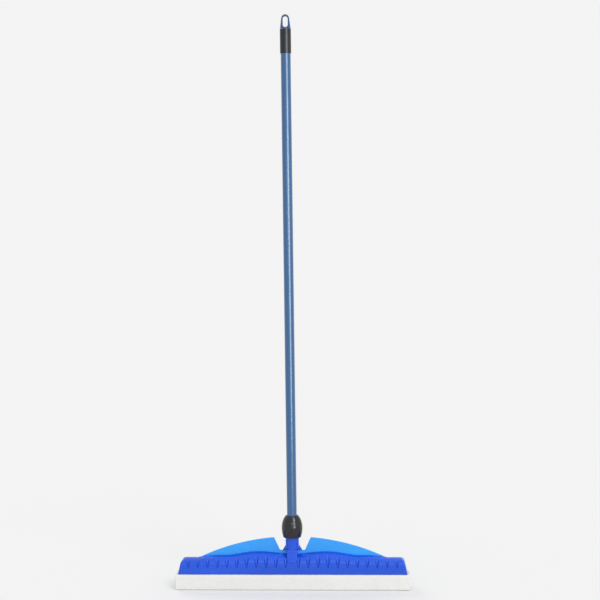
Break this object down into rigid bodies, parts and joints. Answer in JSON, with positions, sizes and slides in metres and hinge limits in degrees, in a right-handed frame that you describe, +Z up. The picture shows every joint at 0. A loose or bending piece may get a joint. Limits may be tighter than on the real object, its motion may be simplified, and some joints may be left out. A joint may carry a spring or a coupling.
{
  "type": "foam carpet broom",
  "caption": "Wide foam-strip broom head in a two-part plastic housing with an arched back fin, on a long coated pole held by a screw collar, with a hang loop.",
  "frame": {"origin": "on the floor, at the middle of the foam strip's flat underside, on the pole's axis", "axes": "+Z up along the pole; +X along the head; -Y is the front, the side of the fluted shoulder"},
  "size_m": [0.545, 0.0484, 1.32],
  "materials": {
    "shell_blue": "gloss",
    "fin_azure": "gloss",
    "foam_white": "matte",
    "channel_steel": "satin",
    "rivet_aluminium": "satin",
    "screw_steel": "satin",
    "collar_black": "gloss",
    "collet_natural": "matte",
    "pole_steel": "satin",
    "sheath_blue": "gloss",
    "plug_black": "matte",
    "grip_black": "satin",
    "cap_blue": "gloss"
  },
  "bodies": {
    "head": {"front_shell": "shell_blue", "handle_socket": "shell_blue", "back_plate": "fin_azure", "foam_strip": "foam_white", "foam_channel": "channel_steel", "foam_rivets": "rivet_aluminium", "shell_screws": "screw_steel", "socket_screws": "screw_steel"},
    "collet": {"collet": "collet_natural"},
    "collar": {"collar_nut": "collar_black"},
    "pole": {"pole_tube": "pole_steel", "pole_sheath": "sheath_blue", "foot_plug": "plug_black", "grip_sleeve": "grip_black", "hang_cap": "cap_blue"}
  },
  "joints": [
    {"name": "collet_lift", "type": "slide", "parent": "head", "child": "collet", "axis": [0, 0, 1], "range_m": [0, 0.00501]},
    {"name": "collar_turn", "type": "hinge", "parent": "collet", "child": "collar", "pos_m": [0, 0, 0.145], "axis": [0, 0, 1], "range_deg": [0, 450]},
    {"name": "pole_draw", "type": "slide", "parent": "head", "child": "pole", "axis": [0, 0, 1], "range_m": [0, 0.08]}
  ],
  "couplings": [
    {"joint": "collet_lift", "follows": "collar_turn", "m_per_rad": 0.00063662}
  ]
}
